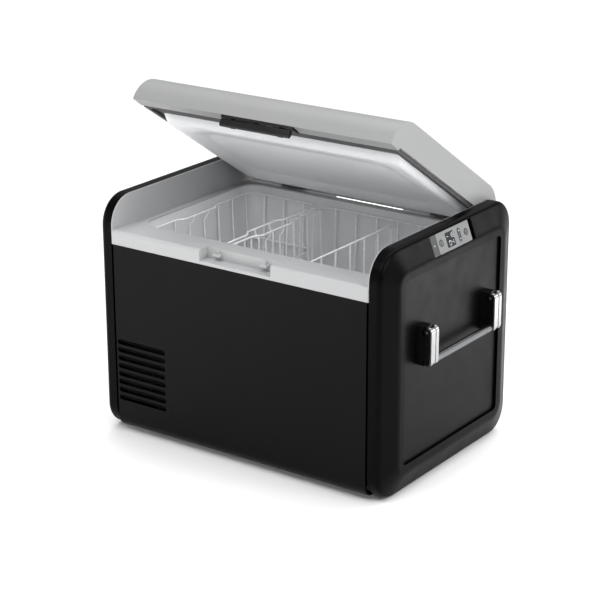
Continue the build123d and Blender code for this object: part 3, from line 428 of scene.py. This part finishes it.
def round_corners(points, radius, steps=4):
    """A polyline with every corner between its ends turned into a soft bend."""
    result = [points[0]]
    for before, corner, after in zip(points, points[1:], points[2:]):
        to_before, to_after = (before - corner).normalized(), (after - corner).normalized()
        reach = min(radius, (before - corner).length / 2, (after - corner).length / 2)
        start, end = corner + to_before * reach, corner + to_after * reach
        for i in range(steps + 1):
            t = i / steps
            result.append(start * (1 - t) ** 2 + corner * 2 * t * (1 - t) + end * t**2)
    return result + [points[-1]]


def ease(t):
    """Smooth step from 0 to 1."""
    t = min(max(t, 0.0), 1.0)
    return t * t * (3 - 2 * t)


# ---------------------------------------------------------------- wire baskets

WIRE = 1.75 * MM                  # radius
RIM_RADIUS, RING_RADIUS = 25 * MM, 23 * MM
RIM_PITCH = 3 * MM                # greatest distance between the rim's points
RING_HEIGHTS = (0.3, 0.05)        # share of the basket's height
box_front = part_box("top_frame")[0].y
SIDE_FIRST, SIDE_PITCH = 116.5 * MM, 46.5 * MM     # side wires, from the box's front
SIDE_ROOM = 12 * MM               # least room behind the last side wire
SIDE_BEND = 5 * MM
REAR_PITCH = 49.5 * MM            # wires that run under the basket from front to rear
REAR_ROOM = 25 * MM               # least room beside the outermost of them
REAR_BEND = 6 * MM
GRIP = 10.5 * MM                  # how far the rim steps in to make room for the fingers
GRIP_FROM, GRIP_TO, GRIP_BEND = 167 * MM, 277 * MM, 20 * MM
# below the rim: where a side wire turns outwards under the grip, and where it is out again
GRIP_DROP, GRIP_DEPTH = 9 * MM, 20 * MM
DIVIDER_LEAN, DIVIDER_REAR_LEAN = 11 * MM, 1 * MM
DIVIDER_BEND, DIVIDER_PITCH = 13 * MM, 48 * MM


def rim_step(y):
    """How far the left and right sides of a rim stand inwards at y."""
    along = y - box_front
    return GRIP * (ease((along - GRIP_FROM) / GRIP_BEND) - ease((along - GRIP_TO) / GRIP_BEND))


def basket_rim(x0, x1, y0, y1, top):
    """Rim wire: a rounded rectangle whose left and right sides step in for the fingers."""
    loop = rounded_loop(x0, x1, y0, y1, RIM_RADIUS)
    rim = []
    for (ax, ay), (bx, by) in zip(loop, loop[1:] + loop[:1]):
        steps = max(1, ceil(hypot(bx - ax, by - ay) / RIM_PITCH))
        for i in range(steps):
            x, y = ax + (bx - ax) * i / steps, ay + (by - ay) * i / steps
            if abs(x - x0) < WIRE:
                x += rim_step(y)
            elif abs(x - x1) < WIRE:
                x -= rim_step(y)
            rim.append(Vector((x, y, top)))
    return rim


def side_wire(x, inward, lean, y, top, floor):
    """Down the left or right side: straight, or stepped out again under the finger grip."""
    step = rim_step(y)
    foot = Vector((x + inward * lean, y, floor))
    if step < GRIP / 2:
        return [Vector((x, y, top)), foot]
    return [
        Vector((x + inward * step, y, top)),
        Vector((x + inward * step, y, top - GRIP_DROP)),
        Vector((x + inward * 0.05 * lean, y, top - GRIP_DEPTH)),
        foot,
    ]


def basket(name, node, lean):
    """Wire basket in the outer shape of its tray."""
    low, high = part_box(node)
    x0, x1, y0, y1 = low.x + WIRE, high.x - WIRE, low.y + WIRE, high.y - WIRE
    top, floor = high.z - WIRE, low.z + WIRE
    wires = Wires(name, WIRE)
    wires.add(basket_rim(x0, x1, y0, y1, top), closed=True)
    for height in RING_HEIGHTS:
        inset = lean * (1 - height) + 2 * WIRE
        ring = rounded_loop(x0 + inset, x1 - inset, y0 + inset, y1 - inset, RING_RADIUS)
        z = floor + (top - floor) * height
        wires.add([Vector((x, y, z)) for x, y in ring], closed=True)
    count = int((y1 - SIDE_ROOM - box_front - SIDE_FIRST) // SIDE_PITCH)
    for i in range(count + 1):
        y = box_front + SIDE_FIRST + i * SIDE_PITCH
        left = side_wire(x0, 1, lean, y, top, floor)
        right = side_wire(x1, -1, lean, y, top, floor)
        wires.add(round_corners(left + right[::-1], SIDE_BEND))
    count = int((x1 - x0 - 2 * REAR_ROOM) // REAR_PITCH)
    first = (x0 + x1 - count * REAR_PITCH) / 2
    for i in range(count + 1):
        x = first + i * REAR_PITCH
        front = [Vector((x, y0, top)), Vector((x, y0 + lean, floor))]
        rear = [Vector((x, y1 - lean, floor)), Vector((x, y1, top))]
        wires.add(round_corners(front + rear, REAR_BEND))
    dress(wires.mesh(), "basket_coating", "cabinet", [node])


def divider():
    """Wire panel across the deep basket."""
    low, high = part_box("basket_divider")
    x = (low.x + high.x) / 2
    top, floor = high.z - WIRE, low.z + WIRE
    front, rear = low.y + WIRE, high.y - WIRE
    foot = front + DIVIDER_LEAN
    wires = Wires("basket_divider_wires", WIRE)
    hoop = [
        Vector((x, foot, floor)),
        Vector((x, front, top)),
        Vector((x, rear, top)),
        Vector((x, rear - DIVIDER_REAR_LEAN, floor)),
    ]
    wires.add(round_corners([*hoop, hoop[0]], DIVIDER_BEND, 8))
    count = round((rear - front) / DIVIDER_PITCH) - 1
    for i in range(1, count + 1):
        y = foot + (rear - foot) * i / (count + 1)
        wires.add([Vector((x, y, floor)), Vector((x, y, top))])
    z = floor + (top - floor) * RING_HEIGHTS[0]
    wires.add([Vector((x + 2 * WIRE, foot, z)), Vector((x + 2 * WIRE, rear, z))])
    dress(wires.mesh(), "basket_coating", "cabinet", ["basket_divider"])


basket("left_basket_wires", "left_basket", 5.5 * MM)
basket("right_basket_wires", "right_basket", 12 * MM)
divider()


# ---------------------------------------------------------------- low wall behind the hinges

LIP_THICKNESS = 2.2 * MM
LIP_ROUND = 0.7 * MM
LIP_SIDE = 3 * MM                 # from each end of the top frame
LIP_BELOW, LIP_ABOVE = 6 * MM, 1.5 * MM            # past the light lens


def rear_lip():
    """Closes the view through the gap between the open lid and the rear step."""
    low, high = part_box("top_frame")
    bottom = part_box("led_lens")[0].z - LIP_BELOW
    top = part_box("led_lens")[1].z + LIP_ABOVE
    size = Vector((high.x - low.x - 2 * LIP_SIDE, LIP_THICKNESS, top - bottom))
    centre = Vector(((low.x + high.x) / 2, high.y - LIP_THICKNESS, (bottom + top) / 2))
    shape = bmesh.new()
    bmesh.ops.create_cube(shape, size=1.0, matrix=Matrix.LocRotScale(centre, None, size))
    bmesh.ops.bevel(shape, geom=shape.edges[:], offset=LIP_ROUND, segments=2, affect="EDGES")
    mesh = bpy.data.meshes.new("rear_lip")
    shape.to_mesh(mesh)
    shape.free()
    dress(link("rear_lip", mesh), "frame_plastic", "cabinet")


rear_lip()


# ---------------------------------------------------------------- marks on the control panel

PANEL_FACES = Vector((0.937, 0, 0.349))            # the way the sloping control panel faces
PRINT_LIFT = 0.08 * MM            # print above its face
RING_STEPS = 28


def outer_face(node, direction):
    """Centre, axes, normal and half sizes of a node's flat face; the axes are +Y and up the slope."""
    mesh = frame["nodes"][node].data
    across = Vector((0, 1, 0))
    best = max(mesh.polygons, key=lambda face: (face.normal.dot(direction) > 0.99) * face.area)
    normal = best.normal.copy()
    up = normal.cross(across)
    if up.z < 0:
        up = -up
    level = best.center.dot(normal)
    corners = [v.co for v in mesh.vertices if abs(v.co.dot(normal) - level) < 0.05 * MM]
    spans = [(min(c.dot(axis) for c in corners), max(c.dot(axis) for c in corners)) for axis in (across, up)]
    centre = normal * level + sum((axis * sum(span) / 2 for axis, span in zip((across, up), spans)), Vector())
    return centre, across, up, normal, [(high - low) / 2 for low, high in spans]


class Decal:
    """Thin print made of flat polygons just above a face of the control panel."""

    def __init__(self, name, node):
        self.name = name
        self.centre, self.across, self.up, self.normal, self.half = outer_face(node, PANEL_FACES)
        self.bm = bmesh.new()

    def polygon(self, points):
        """A filled polygon; points are (across, up) from the face's centre."""
        lift = self.normal * PRINT_LIFT
        corners = [self.centre + self.across * u + self.up * v + lift for u, v in points]
        self.bm.faces.new([self.bm.verts.new(corner) for corner in corners])

    def bar(self, u0, v0, u1, v1, width):
        """A straight stroke with square ends."""
        along = Vector((u1 - u0, v1 - v0)).normalized() * width / 2
        side = Vector((-along.y, along.x))
        ends = ((u0, v0, -1), (u1, v1, 1))
        (a, b), (c, d) = [
            [(u + sign * along.x + turn * side.x, v + sign * along.y + turn * side.y) for turn in (1, -1)]
            for u, v, sign in ends
        ]
        self.polygon([a, b, d, c])

    def ring(self, u, v, radius, width, start, end):
        """An arc of a ring, angles in degrees."""
        inner = arc((u, v), radius - width / 2, start, end, RING_STEPS)
        outer = arc((u, v), radius + width / 2, start, end, RING_STEPS)
        for inner_0, inner_1, outer_0, outer_1 in zip(inner, inner[1:], outer, outer[1:]):
            self.polygon([inner_0, outer_0, outer_1, inner_1])

    def done(self, material, body):
        """Turn every polygon outwards and put the print on its body."""
        bmesh.ops.recalc_face_normals(self.bm, faces=self.bm.faces)
        for face in self.bm.faces:
            if face.normal.dot(self.normal) < 0:
                face.normal_flip()
        mesh = bpy.data.meshes.new(self.name)
        self.bm.to_mesh(mesh)
        self.bm.free()
        piece = link(self.name, mesh)
        mesh.materials.append(material)
        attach(piece, body)


SEGMENTS = {    # seven segments: ends in a unit box, by letter
    "a": (0, 2, 1, 2), "b": (1, 2, 1, 1), "c": (1, 1, 1, 0), "d": (0, 0, 1, 0),
    "e": (0, 1, 0, 0), "f": (0, 2, 0, 1), "g": (0, 1, 1, 1),
}
FIGURES = {"0": "abcdef", "1": "bc", "4": "bcfg", "8": "abcdefg", "-": "g"}
FIGURE_PITCH = 1.55         # in widths of a figure
FIGURE_STROKE, POWER_STROKE, MENU_STROKE = 0.55 * MM, 0.35 * MM, 0.32 * MM
SEGMENT_GAP = 0.1           # share of a segment that is missing at each end


def figures(decal, text, u, v, width, height):
    """Seven-segment figures from left to right; +Y is to the right on this panel."""
    half = height / 2
    for place, figure in enumerate(text):
        left = u + place * width * FIGURE_PITCH
        for segment in FIGURES[figure]:
            u0, v0, u1, v1 = SEGMENTS[segment]
            u0, u1 = [left + width * (c + SEGMENT_GAP * (1 - 2 * c) * (v0 == v1)) for c in (u0, u1)]
            gap = SEGMENT_GAP * half * (u0 == u1)
            decal.bar(u0, v + v0 * half - gap, u1, v + v1 * half + gap, FIGURE_STROKE)


def printed(name, colour, glow=0.0):
    """Screen-printed ink, slightly uneven, or lit figures."""
    look = Look(name)
    look.set(
        Base_Color=look.mix(look.noise(400.0, 4.0), shade(colour, 0.85), colour),
        Roughness=look.ramp(look.noise(300.0), 0.3, 0.7, 0.45, 0.6),
        Emission_Color=look.mix(look.noise(200.0), shade(colour, 0.9), colour),
    )
    look.fix("Emission Strength", glow)
    return look.material


lit_figures = printed("lit_figures", (0.75, 0.80, 0.82), 0.55)
key_print = printed("key_print", (0.55, 0.56, 0.57))


def panel_marks():
    """Two temperatures on the display and plain symbols on the keys."""
    screen = Decal("display_figures", "display_window")
    half_u, half_v = screen.half
    width, height = half_u * 0.42, half_v * 0.58
    figures(screen, "-18", -half_u * 0.72, half_v * 0.16, width, height)
    figures(screen, "04", -half_u * 0.40, -half_v * 0.78, width, height)
    screen.done(lit_figures, "cabinet")

    power = Decal("power_symbol", "power_button")
    size = min(power.half) * 0.5
    power.ring(0, 0, size, POWER_STROKE, 125, 415)
    power.bar(0, size * 0.25, 0, size * 1.15, POWER_STROKE)
    power.done(key_print, "power_key")

    menu = Decal("menu_symbol", "menu_button")
    size = min(menu.half) * 0.45
    for row in (-1, 0, 1):
        menu.bar(-size, row * size * 0.8, size, row * size * 0.8, MENU_STROKE)
    menu.done(key_print, "menu_key")

    level = Decal("level_symbols", "level_rocker")
    reach = max(level.half) * 0.62
    size = min(level.half) * 0.5
    for sign in (-1, 1):
        tip = sign * (reach + size * 0.5)
        base = sign * (reach - size * 0.5)
        level.polygon([(-size, base), (size, base), (0, tip)])
    level.done(key_print, "level_key")


panel_marks()


# ---------------------------------------------------------------- stage, light and camera

# metres and degrees
FLOOR_SIZE = 60
WORLD_LIGHT = 0.38
SOFTBOXES = (       # name, place, target, size, brightness
    ("front", (-0.2, -2.6, 1.0), (0, 0, 0.5), (1.6, 0.6), 1.6),
    ("top_front", (0, -1.5, 2.2), (0, 0, 0.3), (1.8, 1.0), 4.6),
    ("right", (2.1, -0.3, 1.5), (-0.2, 0, 0.45), (1.4, 1.2), 5.4),
    ("left_strip", (-0.55, -1.15, 0.17), (0, -0.22, 0.25), (0.8, 0.34), 1.3),
    ("left", (-1.8, -1.0, 0.5), (-0.33, -0.1, 0.3), (0.4, 1.0), 6),
    ("back_right", (1.10, 0.92, 0.66), (0.35, 0, 0.43), (0.6, 0.34), 5),
    ("right_strip", (0.92, 0.60, 0.12), (0.33, -0.1, 0.36), (0.6, 0.22), 2.5),
)
CAMERA_PLACE = (2.048, -2.896, 1.527)
CAMERA_AZIMUTH, CAMERA_ELEVATION, CAMERA_ROLL = 35.45, 19.55, -0.15
CAMERA_LENS = 116.0


def floor():
    """Pale floor far past the picture's edges."""
    bpy.ops.mesh.primitive_plane_add(size=FLOOR_SIZE)
    plane = bpy.context.object
    plane.name = "floor"
    look = Look("pale_floor")
    look.set(Base_Color=look.mix(look.noise(3.0), (0.90, 0.90, 0.90), (0.92, 0.92, 0.92)), Roughness=0.7)
    look.fix(SPECULAR, 0.1)
    plane.data.materials.append(look.material)


def softbox(name, place, target, size, brightness):
    """Rectangular lamp whose face has a brightness; white paper in full light has 1."""
    data = bpy.data.lights.new(name, "AREA")
    data.shape = "RECTANGLE"
    data.size, data.size_y = size
    data.energy = brightness * pi * size[0] * size[1]
    lamp = link(name, data)
    lamp.location = place
    lamp.rotation_euler = (Vector(target) - Vector(place)).to_track_quat("-Z", "Y").to_euler()


def sun(name, azimuth, elevation, width, strength):
    """Very soft sun; azimuth is where it stands, seen from above, from +X."""
    data = bpy.data.lights.new(name, "SUN")
    data.angle = radians(width)
    data.energy = strength
    lamp = link(name, data)
    turn, rise = radians(azimuth), radians(elevation)
    toward = Vector((cos(rise) * cos(turn), cos(rise) * sin(turn), sin(rise)))
    lamp.rotation_euler = toward.to_track_quat("Z", "Y").to_euler()


def light():
    """Even white surroundings, a high soft sun and the softboxes."""
    world = bpy.data.worlds.new("studio")
    bpy.context.scene.world = world
    world.use_nodes = True
    background = world.node_tree.nodes["Background"]
    background.inputs["Color"].default_value = (1.0, 1.0, 1.0, 1.0)
    background.inputs["Strength"].default_value = WORLD_LIGHT
    sun("overhead", azimuth=100, elevation=66, width=60, strength=2.5)
    for lamp in SOFTBOXES:
        softbox(*lamp)


def camera():
    """Long lens, looking down on the front and the right end."""
    data = bpy.data.cameras.new("camera")
    data.lens = CAMERA_LENS
    data.sensor_width = 36.0
    data.clip_end = 100.0
    eye = link("camera", data)
    turn = Matrix.Rotation(radians(CAMERA_AZIMUTH), 4, "Z")
    tilt = Matrix.Rotation(pi / 2 - radians(CAMERA_ELEVATION), 4, "X")
    roll = Matrix.Rotation(radians(CAMERA_ROLL), 4, "Z")
    eye.matrix_world = Matrix.Translation(CAMERA_PLACE) @ turn @ tilt @ roll
    bpy.context.scene.camera = eye


floor()
light()
camera()
bpy.context.scene.view_settings.view_transform = "Standard"
